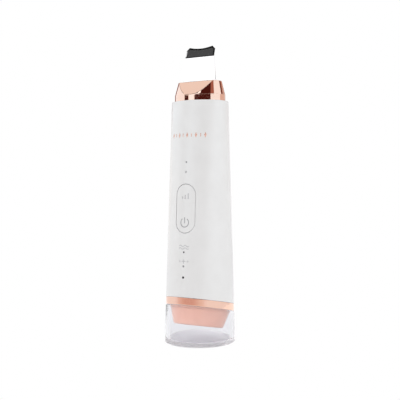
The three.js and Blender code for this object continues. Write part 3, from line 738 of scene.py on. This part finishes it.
def seal_piece():
    """Pale lip that closes the gap between the blade and the head."""
    profile = [(168.0, 0.0), (170.4, 0.0), (170.8, 0.04), (171.05, 0.16), (171.2, 0.36), (171.2, 0.55),
               (171.1, 0.78), (170.9, 0.96), (170.6, 1.0), (168.0, 1.0)]
    loops = []
    for z, share in profile:
        half_width = (12.7 - 0.62 * share) * MM
        half_depth = (1.72 - 1.3 * share) * MM
        loops.append([Vector((x, y + BLADE_Y, z * MM)) for x, y in slot_outline(half_width, half_depth)])
    return place(skin("blade_lip", loops, SILICONE, closed=True, sharp=60), "handle", "silicone",
                 "blade_seal")


# ---- key and indicators ----


def key_piece():
    edge = quarter(0.25 * MM, 4)
    rings = [(0.0, KEY_THICK), (0.0, 0.8 * MM)]
    rings += [(inset, along) for along, inset in reversed(edge)]
    rings += [(k * MM, 0.0) for k in (0.6, 1.4, 2.6, 3.8, 5.0, 6.0, 6.7)]
    rings = [(KEY_HALF_WIDTH * 0.5, KEY_THICK), *rings]
    loops = [[on_front(x, z, depth) for x, z in pill(KEY_HALF_WIDTH - inset, KEY_HALF_HEIGHT - inset, KEY_Z)]
             for inset, depth in rings]
    key = skin("key_cap", loops, WHITE)
    legs = []
    for side in (-1, 1):
        z = KEY_Z + side * SWITCH_OFFSET
        legs.append(box_piece("nib", (-1.4 * MM, -body_half(z)[1] + 1.0 * MM, z - 1.4 * MM),
                              (1.4 * MM, NIB_TIP, z + 1.4 * MM)))
    for x in (-3.8, 2.2):
        legs.append(box_piece("lug", (x * MM, -18.3 * MM, KEY_Z - 1.4 * MM),
                              ((x + 1.6) * MM, -14.0 * MM, KEY_Z + 1.4 * MM)))
    combine(key, legs, "UNION")
    bore = rod_piece("bore", Vector((-8 * MM, PIVOT_Y, KEY_Z)), Vector((8 * MM, PIVOT_Y, KEY_Z)), 0.68 * MM)
    combine(key, [bore], "DIFFERENCE")
    return place(key, "key", "white_shell", "rocker_key")


def lens_piece(node, radius, material):
    """A light pipe with a domed face a hair below the surface, and a collar behind the wall."""
    z, collar = lens_height(node), 1.35 * MM
    face = -body_half(z)[1] + 0.04 * MM
    behind = face + BODY_WALL + 0.4 * MM
    profile = [(radius * 0.2, face), (radius * 0.48, face + 0.01 * MM), (radius * 0.72, face + 0.04 * MM),
               (radius * 0.9, face + 0.1 * MM), (radius, face + 0.22 * MM), (radius, behind),
               (collar, behind), (collar, -13.1 * MM), (collar - 0.1 * MM, -13.0 * MM)]
    loops = [[Vector((r * math.cos(a), y, z + r * math.sin(a))) for a in angles(40)] for r, y in profile]
    pipe = skin(node + "_pipe", loops, material)
    slot_name = "black_lens" if node == "charge_lens" else "grey_lens"
    return place(pipe, "handle", slot_name, node)


# ---- printed marks ----


def stroke(path, width, closed=False):
    """Quads along an (x, z) path, as lists of (x, z) corners."""
    count = len(path)
    sides = []
    for k in range(count):
        before = path[(k - 1) % count] if closed or k > 0 else path[k]
        after = path[(k + 1) % count] if closed or k < count - 1 else path[k]
        along = Vector((after[0] - before[0], after[1] - before[1])).normalized()
        across = Vector((-along.y, along.x)) * width / 2
        sides.append(((path[k][0] + across.x, path[k][1] + across.y),
                      (path[k][0] - across.x, path[k][1] - across.y)))
    spans = count if closed else count - 1
    return [(sides[k][0], sides[(k + 1) % count][0], sides[(k + 1) % count][1], sides[k][1])
            for k in range(spans)]


def wrap_point(s, z, depth):
    """The point of the body's front at arc length s from its middle line."""
    width, deep = body_half(z)
    a = 0.0
    step = s / 24
    for _ in range(24):
        a += step / math.hypot(width * math.cos(a), deep * math.sin(a))
    return Vector(((width - depth) * math.sin(a), -(deep - depth) * math.cos(a), z))


def mark(name, cells, material, body, slot_name, wrapped=False, lift=0.02 * MM):
    """A thin printed mark made of small flat cells that follow the body's surface."""
    points, faces = [], []
    for cell in cells:
        faces.append(tuple(range(len(points), len(points) + len(cell))))
        for x, z in cell:
            points.append(wrap_point(x, z, -lift) if wrapped else on_front(x, z, -lift))
    film = make(name, points, faces, material, 60)
    thick = film.modifiers.new("thick", "SOLIDIFY")
    thick.thickness = 0.05 * MM
    thick.offset = 0.0
    baked(film)
    return place(film, body, slot_name)


def arc_path(cx, cz, radius, start, end, count):
    return [(cx + radius * math.cos(start + (end - start) * k / count),
             cz + radius * math.sin(start + (end - start) * k / count)) for k in range(count + 1)]


def power_cells(z):
    ring = stroke(arc_path(0, z, 2.85 * MM, math.radians(125), math.radians(415), 40), 0.58 * MM)
    bar = stroke([(0, z + (0.42 * k - 0.4) * MM) for k in range(10)], 0.58 * MM)
    return ring + bar


def bars_cells(z):
    """Three rising bars for the level end of the key."""
    cells = []
    for k, tall in enumerate((1.5, 2.5, 3.5)):
        x = (k - 1) * 2.1 * MM
        foot = z - 1.7 * MM
        cells += stroke([(x, foot + tall * MM * i / 4) for i in range(5)], 0.75 * MM)
    return cells


def waves_cells(z):
    """Two ripples for the peeling light."""
    cells = []
    for offset in (-0.8, 0.8):
        path = [((k / 24 - 0.5) * 7.2 * MM, z + (offset + 0.45 * math.sin(k / 24 * 4 * math.pi)) * MM)
                for k in range(25)]
        cells += stroke(path, 0.45 * MM)
    return cells


def fan_cells(middle, tips):
    return [(middle, tip, after) for tip, after in zip(tips, tips[1:] + tips[:1])]


def star_cells(cx, z, size):
    """A four-pointed spark."""
    reach = [size * (0.28 if k % 2 else 1) for k in range(8)]
    tips = [(cx + r * math.cos(math.pi * k / 4), z + r * math.sin(math.pi * k / 4))
            for k, r in enumerate(reach)]
    return fan_cells((cx, z), tips)


def diamond_cells(cx, z, half_width, half_height):
    tips = [(cx + half_width, z), (cx, z + half_height), (cx - half_width, z), (cx, z - half_height)]
    return fan_cells((cx, z), tips)


def ornament_cells(z):
    """A plain row of lozenges and short dashes where such devices carry a name."""
    cells = []
    for k in range(-4, 5):
        s = k * 3.05 * MM
        if k % 2 == 0:
            cells += diamond_cells(s, z, 0.8 * MM, 1.75 * MM)
        else:
            cells += stroke([(s, z + (i / 4 - 0.5) * 2.2 * MM) for i in range(5)], 0.5 * MM)
    return cells


def printed_marks():
    mark("power_mark", power_cells(78.85 * MM), GREY_INK, "key", "grey_lens")
    mark("level_mark", bars_cells(95.6 * MM), PALE_INK, "key", "grey_lens")
    mark("peeling_mark", waves_cells(63.2 * MM), PALE_INK, "handle", "grey_lens")
    sparks = star_cells(0, 54.3 * MM, 1.7 * MM)
    for side in (-1, 1):
        sparks += star_cells(side * 2.9 * MM, 54.3 * MM, 1.0 * MM)
    mark("plasma_mark", sparks, PALE_INK, "handle", "grey_lens")
    mark("ornament", ornament_cells(134.6 * MM), ROSE_INK, "handle", "rose_gold", wrapped=True)


# ---- plasma head and cap ----


def housing_piece():
    """Pink frustum with a rounded foot, a lip that the cap grips, and an open top."""
    face_r, top_r, tall, wall = 16.2, 20.0, 11.8, 2.0
    slope = (top_r - face_r) / tall
    outside = [(12.15, 0.0), (face_r - 1.0, 0.0), (face_r - 0.6, 0.06), (face_r - 0.25, 0.22),
               (face_r + 0.03, 0.5), (face_r + 0.2, 0.9)]
    outside += [(face_r + slope * h, h) for h in (1.6, 3.5, 5.5, 7.5, 9.3, 10.4)]
    loops = lathe_loops([(r * MM, h * MM) for r, h in outside], place=on_plasma_axis)
    lip_top = RING_LOWER - SEAM
    width, depth = 20.05 * MM, 20.65 * MM
    for level, inset in ((lip_top - 1.0 * MM, 0.15 * MM), (lip_top - 0.9 * MM, 0.04 * MM),
                         (lip_top - 0.75 * MM, 0.0), (lip_top - 0.2 * MM, 0.0), (lip_top, 0.2 * MM)):
        loops.append(ellipse_loop(level, width - inset, depth - inset, SLOPE))
    loops.append(ellipse_loop(lip_top, 17.8 * MM, 17.3 * MM, SLOPE))
    inside = [(face_r + slope * 9 - wall, 9.0), (face_r + slope * 3 - wall, 3.0), (10.8, 3.0), (10.8, 1.5),
              (12.15, 1.5)]
    loops += lathe_loops([(r * MM, h * MM) for r, h in inside], place=on_plasma_axis)
    shell = skin("plasma_cone", loops, PINK, closed=True)
    bosses = [rod_piece("boss", Vector((x, 0, 15 * MM)), Vector((x, 0, 31.4 * MM)), 3.2 * MM)
              for x in (-15 * MM, 15 * MM)]
    combine(shell, bosses, "UNION")
    return place(shell, "handle", "pink_plastic", "plasma_housing")


def emitter_piece():
    """Ceramic emitter with shallow ring grooves in its face."""
    profile = [(0.3, 0.0), (2.2, 0.0), (2.4, 0.14), (2.9, 0.14), (3.1, 0.0), (5.4, 0.0), (5.6, 0.14),
               (6.1, 0.14), (6.3, 0.0), (8.6, 0.0), (8.8, 0.14), (9.3, 0.14), (9.5, 0.0), (11.6, 0.0),
               (11.85, 0.08), (12.0, 0.3), (12.0, 1.1), (11.9, 1.2), (0.3, 1.2)]
    loops = lathe_loops([(r * MM, h * MM) for r, h in profile], 96, on_plasma_axis)
    return place(skin("emitter_disc", loops, CERAMIC), "handle", "emitter_ceramic", "plasma_plate")


def cap_piece():
    """Thick-floored clear cap with a straight oval hollow and a mouth that leans like the ring."""
    rim, upright = RING_LOWER - 0.1 * MM, 8 * MM
    loops = [oval_loop(0.0, 12 * MM)] + [oval_loop(level, inset) for level, inset in quarter(0.9 * MM, 6)]
    loops += [oval_loop(level * MM, 0, leaning(level * MM, upright, rim))
              for level in (1.1, 2.0, 4.5, 8.0, 11.5, 15.0, 18.5)]
    loops += [oval_loop(rim - 0.45 * MM, 0, SLOPE)]
    loops += [oval_loop(rim - along, inset, SLOPE) for along, inset in reversed(quarter(0.3 * MM, 4))]
    width, depth = 20.3 * MM, 20.9 * MM
    loops += [ellipse_loop(rim, width + 0.25 * MM, depth + 0.25 * MM, SLOPE),
              ellipse_loop(rim - 0.08 * MM, width + 0.08 * MM, depth + 0.08 * MM, SLOPE),
              ellipse_loop(rim - 0.3 * MM, width, depth, SLOPE),
              ellipse_loop(rim - 0.45 * MM, width, depth, SLOPE)]
    loops += [ellipse_loop(level * MM, width, depth, leaning(level * MM, upright, rim))
              for level in (17.0, 13.0, 9.0, 5.0)]
    floor, fillet = 2.6 * MM, 0.7 * MM
    loops += [ellipse_loop(floor + fillet + 0.15 * MM, width, depth)]
    loops += [ellipse_loop(floor + along, width - inset, depth - inset)
              for along, inset in reversed(quarter(fillet, 5))]
    loops += [ellipse_loop(floor, width * share, depth * share) for share in (0.955, 0.75, 0.45)]
    cup = skin("clear_cup", loops, ACRYLIC)
    cup.data.materials.append(FROSTED)
    for face in cup.data.polygons:
        inner = math.hypot(face.center.x, face.center.y) < width - fillet
        if inner and (abs(face.center.z - floor) < 0.2 * MM or face.center.z < 0.02 * MM):
            face.material_index = 1
    return place(cup, "cap", "clear_acrylic", "clear_cap")


# ---- charging socket ----


def socket_pieces():
    steel = internal("plain_steel")
    profile = [(13.9, 0.0), (20.9, 0.0), (21.15, 0.04), (21.25, 0.12), (21.25, 0.2), (21.15, 0.27),
               (20.9, 0.3), (13.9, 0.3)]
    loops = []
    for y, inset in profile:
        outline = slot_outline((4.47 - inset) * MM, (1.63 - inset) * MM, USB_Z, 20)
        loops.append([Vector((x, y * MM, z)) for x, z in outline])
    place(skin("socket_shell", loops, steel, closed=True), "handle", "plain_steel", "usb_shell")
    dark = internal("dark_plastic")
    tongue = box_piece("socket_tongue", (-3.35 * MM, 15.9 * MM, USB_Z - 0.35 * MM),
                       (3.35 * MM, 20.4 * MM, USB_Z + 0.35 * MM), dark)
    root = box_piece("root", (-3.0 * MM, 13.9 * MM, USB_Z - 1.1 * MM), (3.0 * MM, 16 * MM, USB_Z + 1.1 * MM))
    combine(tongue, [root], "UNION")
    bevel(tongue, 0.12 * MM, 2)
    place(tongue, "handle", "dark_plastic", "usb_tongue")
    gold = internal("brass")
    for face in (-1, 1):
        for k in range(8):
            x = (k - 3.5) * 0.75 * MM
            z = USB_Z + face * 0.36 * MM
            pad = box_piece(f"socket_contact_{'upper' if face > 0 else 'lower'}_{k + 1}",
                            (x - 0.15 * MM, 16.4 * MM, z - 0.03 * MM),
                            (x + 0.15 * MM, 20.0 * MM, z + 0.03 * MM), gold)
            bevel(pad, 0.015 * MM, 1)
            place(pad, "handle", "brass")


# ---- what stays from the CAD model ----


def dress_internals():
    """Procedural finishes and softened edges on the CAD pieces that stay."""
    slot_of = {part["node"]: part["material_slot"] for part in frame["record"]["subparts"]}
    shared = {"silicone": SILICONE}
    for node, piece in frame["nodes"].items():
        slot_name = slot_of[node]
        if slot_name not in INTERNAL_LOOKS and slot_name not in shared:
            continue
        if slot_name not in shared:
            shared[slot_name] = bpy.data.materials.get(slot_name) or internal(slot_name)
        piece.data.materials.clear()
        piece.data.materials.append(shared[slot_name])
        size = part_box(node)[1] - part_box(node)[0]
        bevel(piece, min(0.12 * MM, min(size) * 0.12), 2, 50)


# ---- stage ----


def glowing(name, colour=None):
    """A stage card's material: its own light, even or as its points say, with a trace of unevenness."""
    look = Look(name, (0, 0, 0), 0.9, specular_ior_level=0.0, emission_strength=1.0)
    if colour:
        fill(look.shader, emission_color=(*colour, 1))
    else:
        shade = look.node("ShaderNodeAttribute", attribute_name="shade")
        look.link(shade.outputs["Color"], look.shader.inputs["Emission Color"])
    return look.vary_roughness(8, 0.03).material


def flat_rings(radii, height=0.0):
    """Points and faces of flat rings round the middle, sizes in metres."""
    points = [Vector((r * math.cos(a), r * math.sin(a), height)) for r in radii for a in angles(64)]
    faces = [(i * 64 + k, (i + 1) * 64 + k, (i + 1) * 64 + (k + 1) % 64, i * 64 + (k + 1) % 64)
             for i in range(len(radii) - 1) for k in range(64)]
    return points, faces


def floor_piece():
    """Pale floor that lights the object from below. It isn't drawn, so the cap shows when it slides off."""
    points, faces = flat_rings((0.0005, 0.1, 0.2, 0.35, 0.6, 1.2, 2.5, 6.0))
    look = Look("floor", (0.80, 0.80, 0.81), 0.9, specular_ior_level=0.1, emission_color=(1, 1, 1, 1))
    reach = look.node("ShaderNodeVectorMath", operation="LENGTH")
    look.link(look.place, reach.inputs[0])
    # weaker glow near the middle, stronger far out: painted shade round the foot
    glow = look.spread(reach.outputs["Value"], FLOOR_GLOW_NEAR, FLOOR_GLOW_FAR, 0.03, 0.45)
    look.link(glow, look.shader.inputs["Emission Strength"])
    look.vary_roughness(8, 0.03)
    floor = make("floor", points, faces, look.material)
    floor.location.z = -0.02 * MM
    floor.visible_camera = False


def card(name, azimuths, elevations, colour, distance=CARD_FAR):
    """A curved card round the head that only mirrored light meets. Angles in degrees, seen from the head."""
    centre = Vector((0, 0, CARD_EYE))
    columns, rows = 16, 8
    points = []
    for i in range(rows + 1):
        for k in range(columns + 1):
            a = math.radians(azimuths[0] + (azimuths[1] - azimuths[0]) * k / columns)
            e = math.radians(elevations[0] + (elevations[1] - elevations[0]) * i / rows)
            away = Vector((math.sin(a) * math.cos(e), -math.cos(a) * math.cos(e), math.sin(e)))
            points.append(centre + distance * away)
    made = make(name, points, grid_faces(rows + 1, columns + 1), glowing(name, colour))
    hide_except_gloss(made)
    return made


def seen_through_card(name, radii, colour):
    """Glowing pale grey sheet round or under the foot, met only by light that passes through the clear cap.
    The darker one under the foot is a painted shade of the floor beneath the cap.
    """
    paper = make(name, *flat_rings([r * MM for r in radii], -0.01 * MM), glowing(name, colour))
    hide_except_gloss(paper)
    pass_through(paper)


def floor_card(name, stops, reach):
    """A card on the floor that only mirrored light meets; its colour runs from one azimuth to the next."""
    points = []
    for r in reach:
        for azimuth, _ in stops:
            a = math.radians(azimuth)
            points.append(Vector((r * math.sin(a), -r * math.cos(a), 1 * MM)))
    made = make(name, points, grid_faces(len(reach), len(stops)), glowing(name))
    layer = made.data.color_attributes.new("shade", "FLOAT_COLOR", "POINT")
    for index, point_colour in enumerate(layer.data):
        point_colour.color = (*stops[index % len(stops)][1], 1)
    hide_except_gloss(made)


def hide_except_gloss(made):
    """Hides a card from every ray but mirrored light."""
    for rays in ("camera", "diffuse", "transmission", "volume_scatter", "shadow"):
        setattr(made, "visible_" + rays, False)


def pass_through(made):
    """Shown only to light that has passed through the clear cap."""
    made.visible_glossy = False
    made.visible_transmission = True


def soft_light(name, azimuth, elevation, distance, size, power):
    """A rectangular lamp aimed at the middle of the body, too soft to show in mirrors."""
    a, e = math.radians(azimuth), math.radians(elevation)
    lamp = bpy.data.lights.new(name, "AREA")
    lamp.shape = "RECTANGLE"
    lamp.size, lamp.size_y = size
    lamp.energy = power
    light = bpy.data.objects.new(name, lamp)
    light.location = Vector((math.sin(a) * math.cos(e), -math.cos(a) * math.cos(e), math.sin(e))) * distance
    light.location.z += 0.1
    light.rotation_mode = "QUATERNION"
    light.rotation_quaternion = (light.location - Vector((0, 0, 0.1))).to_track_quat("Z", "Y")
    light.visible_glossy = False
    bpy.context.scene.collection.objects.link(light)


def camera_piece():
    azimuth, distance, height, dip = math.radians(29.5), 476 * MM, 101 * MM, math.radians(0.975)
    lens = bpy.data.cameras.new("camera")
    lens.sensor_width = 36
    lens.lens = 65.0
    lens.clip_start = 0.01
    lens.clip_end = 50
    camera = bpy.data.objects.new("camera", lens)
    camera.location = (math.sin(azimuth) * distance, -math.cos(azimuth) * distance, height)
    camera.rotation_euler = (math.pi / 2 - dip, 0, azimuth)
    bpy.context.scene.collection.objects.link(camera)
    bpy.context.scene.camera = camera


BROWN, BLACK, GREY = (0.07, 0.014, 0.011), (0.005, 0.0045, 0.004), (0.08, 0.08, 0.08)
PALE, SNOW = (1.12, 1.25, 1.36), (1.55, 1.75, 1.9)
MIRROR_CARDS = (
    # name without its card_, azimuths, elevations, colour, and the distance where it isn't CARD_FAR
    ("front_low", (-12, 50), (-7, 8), BROWN),
    ("front_middle", (2, 67), (8.1, 14), BROWN, 1.15),
    ("front_high", (2, 50), (14, 60), BROWN),
    ("front_high_side", (50, 67), (14, 60), (0.42, 0.17, 0.13)),
    ("front_white", (-10, 1.5), (8.1, 62), SNOW),
    ("front_white_low", (-16, -10), (8.1, 15), SNOW),
    ("side_low", (-52, -36), (-7, 8), BROWN),
    ("left_pale", (-132, -74), (5, 38), PALE),
    ("left_pale_low", (-74, -53), (5, 30), PALE),
    ("left_warm", (-132, -53), (-7, 4.9), (1.10, 1.06, 1.02)),
    ("left_dark", (-126, -74), (40, 52), BROWN),
    ("back_left", (-170, -135), (5, 55), (0.3, 0.2, 0.17)),
    ("left_edge", (-135, -118), (5, 30), (0.3, 0.12, 0.09), 1.15),
    ("right_pale", (68, 124), (8, 50), PALE),
    ("right_pale_low", (52, 110), (5, 14), PALE, 1.18),
    ("right_low", (112, 178), (4, 8), (0.82, 0.67, 0.63), 1.16),
    ("right_dark", (124, 148), (12, 40), (0.22, 0.08, 0.06)),
    ("right_orange", (148, 178), (12, 40), (0.62, 0.36, 0.30)),
    ("tip", (-46, -10), (15, 72), BLACK),
    ("tip_left", (-62, -46), (40, 72), BLACK, 1.18),
    ("tip_left_low", (-54, -46), (36.5, 40), BLACK, 1.18),
    ("tip_side", (134, 168), (11.2, 13), BLACK, 1.12),
    ("blade_edge", (146, 155), (13.6, 20), (1.0, 1.0, 1.0), 1.12),
    ("tip_middle", (-46, -32), (32, 46), GREY, 1.15),
    ("band", (-33.5, -14.5), (2, 8.5), (1.155, 1.40, 1.555), 1.15),
    ("blade", (-35, -13), (8.5, 13), (1.7, 1.7, 1.7), 1.15),
    ("blade_side", (83, 97), (8.6, 14), (0.42, 0.42, 0.43), 1.12),
)


def studio():
    scene = bpy.context.scene
    scene.view_settings.view_transform = "Standard"
    scene.cycles.max_bounces = 24
    scene.cycles.glossy_bounces = 16
    scene.cycles.transmission_bounces = 20
    world = bpy.data.worlds.new("studio")
    world.use_nodes = True
    fill(world.node_tree.nodes["Background"], color=(1, 1, 1, 1), strength=1.0)
    scene.world = world
    floor_piece()
    seen_through_card("card_round_foot", (23.5, 60, 150, 600), (0.86, 0.86, 0.885))
    # darker glowing disc under the cap: painted shade of the floor beneath it
    seen_through_card("card_painted_shade_under_foot", (0.5, 12, 22.5), (0.76, 0.75, 0.81))
    for name, *spec in MIRROR_CARDS:
        card("card_" + name, *spec)
    bright, dark = (1.02, 1.02, 1.06), (0.74, 0.50, 0.455)
    floor_card("card_ring", (
        (-175, bright), (-140, bright), (-100, bright), (-68, bright), (-56, (0.985, 0.945, 0.99)),
        (-46, (0.885, 0.74, 0.73)), (-37, (0.84, 0.64, 0.62)), (-29, (0.79, 0.56, 0.51)), (-20, dark),
        (2, dark), (10, (0.78, 0.54, 0.49)), (17, (0.82, 0.62, 0.57)), (28, (0.89, 0.75, 0.71)),
        (38, (0.93, 0.80, 0.77)), (45, (1.0, 0.94, 0.98)), (54, bright), (75, bright), (100, bright)),
        (0.2, 0.8))
    floor_card("card_ring_back", ((100, bright), (125, bright), (155, bright), (185, bright)), (0.2, 0.5))
    floor_card("card_steel_back", (
        (100, (0.9, 0.9, 0.91)), (122, (0.4, 0.4, 0.41)), (134, (0.62, 0.62, 0.63)),
        (146, (0.85, 0.85, 0.86)), (165, (0.42, 0.42, 0.43)), (200, (0.8, 0.8, 0.81))), (0.51, 0.95))
    pass_through(card("card_through_left", (-120, 10), (4, 66), (3.0, 3.0, 3.0), 1.1))
    pass_through(card("card_through_right", (10, 110), (4, 66), (2.3, 2.3, 2.3), 1.1))
    soft_light("key_left", -75, 20, 1.3, (0.8, 0.8), 2.4)
    soft_light("fill_right", 72, 12, 1.3, (0.9, 0.7), 2.2)
    soft_light("overhead", 30, 76, 0.9, (0.4, 0.4), 0.9)


camera_piece()
studio()
body_tube()
ring_band()
head_piece()
blade_piece()
seal_piece()
key_piece()
for node_name, lens_radius in LENS_RADII.items():
    lens_piece(node_name, lens_radius, LENS_LOOKS.get(node_name, GREY_LENS))
printed_marks()
housing_piece()
emitter_piece()
cap_piece()
socket_pieces()
dress_internals()
